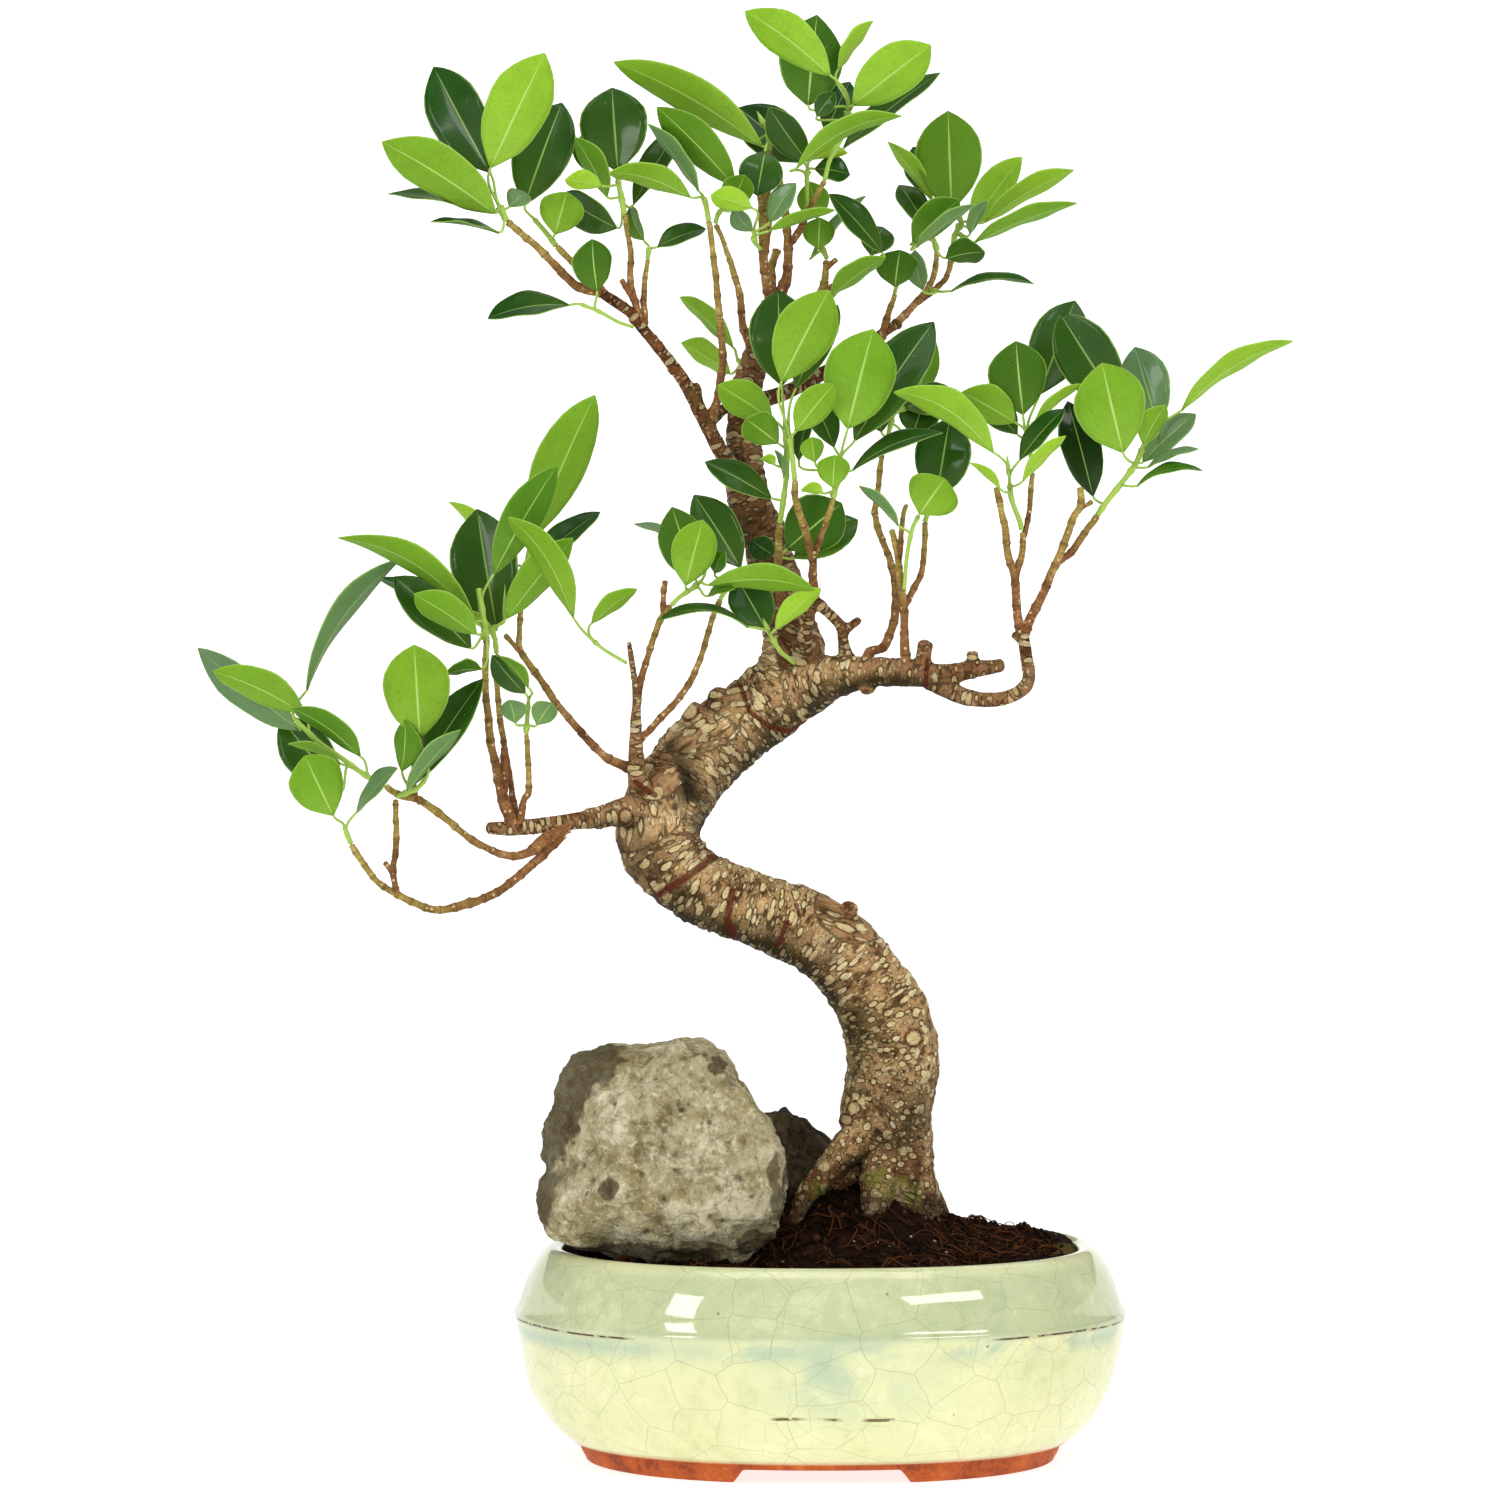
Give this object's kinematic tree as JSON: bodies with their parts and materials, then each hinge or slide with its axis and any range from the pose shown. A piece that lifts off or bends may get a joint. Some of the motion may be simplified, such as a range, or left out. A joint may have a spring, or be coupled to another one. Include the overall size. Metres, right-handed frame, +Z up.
{
  "type": "chinese banyan bonsai",
  "caption": "Small Chinese banyan bonsai: an S-shaped trunk with limbs and leafy shoots, standing with stones and soil in an oval glazed pot on a foot ring.",
  "frame": {"origin": "middle of the whole object's box, on the ground under the pot's foot ring", "axes": "+Z up, -Y towards the front that is meant to be seen, +X to the right of it"},
  "size_m": [0.3606, 0.1608, 0.4796],
  "materials": {
    "glaze": "glossy pale celadon glaze with a fine crackle, bare terracotta foot",
    "soil": "damp dark fibrous potting soil",
    "pale_stone": "rough pitted limestone",
    "dark_stone": "rough dark stone with striations",
    "bark": "matte bark with cream lenticels",
    "leaf": "waxy leaf, glossier above than below"
  },
  "bodies": {
    "root": {"pot": "glaze", "soil": "soil", "stone_front": "pale_stone", "stone_back": "dark_stone", "trunk": "bark", "shoot_left_end": "leaf", "shoot_left_low": "leaf", "shoot_left_upright": "leaf", "shoot_left_middle_a": "leaf", "shoot_left_middle_b": "leaf", "shoot_left_back": "leaf", "shoot_left_rising_side": "leaf", "shoot_left_under": "leaf", "shoot_top_left": "leaf", "shoot_top_left_back": "leaf", "shoot_upper_left_low": "leaf", "shoot_upper_left_fan": "leaf", "shoot_upper_left_twin": "leaf", "shoot_top_a": "leaf", "shoot_top_b": "leaf", "shoot_top_c": "leaf", "shoot_top_c_low": "leaf", "shoot_top_e": "leaf", "shoot_top": "leaf", "shoot_top_f": "leaf", "shoot_top_f_cut": "leaf", "shoot_top_f_low": "leaf", "shoot_right_top": "leaf", "shoot_right_top_low": "leaf", "shoot_right_top_stray": "leaf", "shoot_back_b": "leaf", "shoot_behind": "leaf", "shoot_centre_a": "leaf", "shoot_centre_b": "leaf", "shoot_centre_c": "leaf", "shoot_middle_front": "leaf", "shoot_middle_c": "leaf", "shoot_middle_back": "leaf", "shoot_trunk_front": "leaf", "shoot_rising_fork": "leaf", "shoot_rising_side": "leaf", "shoot_shoulder": "leaf", "shoot_right_a_front": "leaf", "shoot_right_a_back": "leaf", "shoot_right_b": "leaf"}
  },
  "joints": []
}
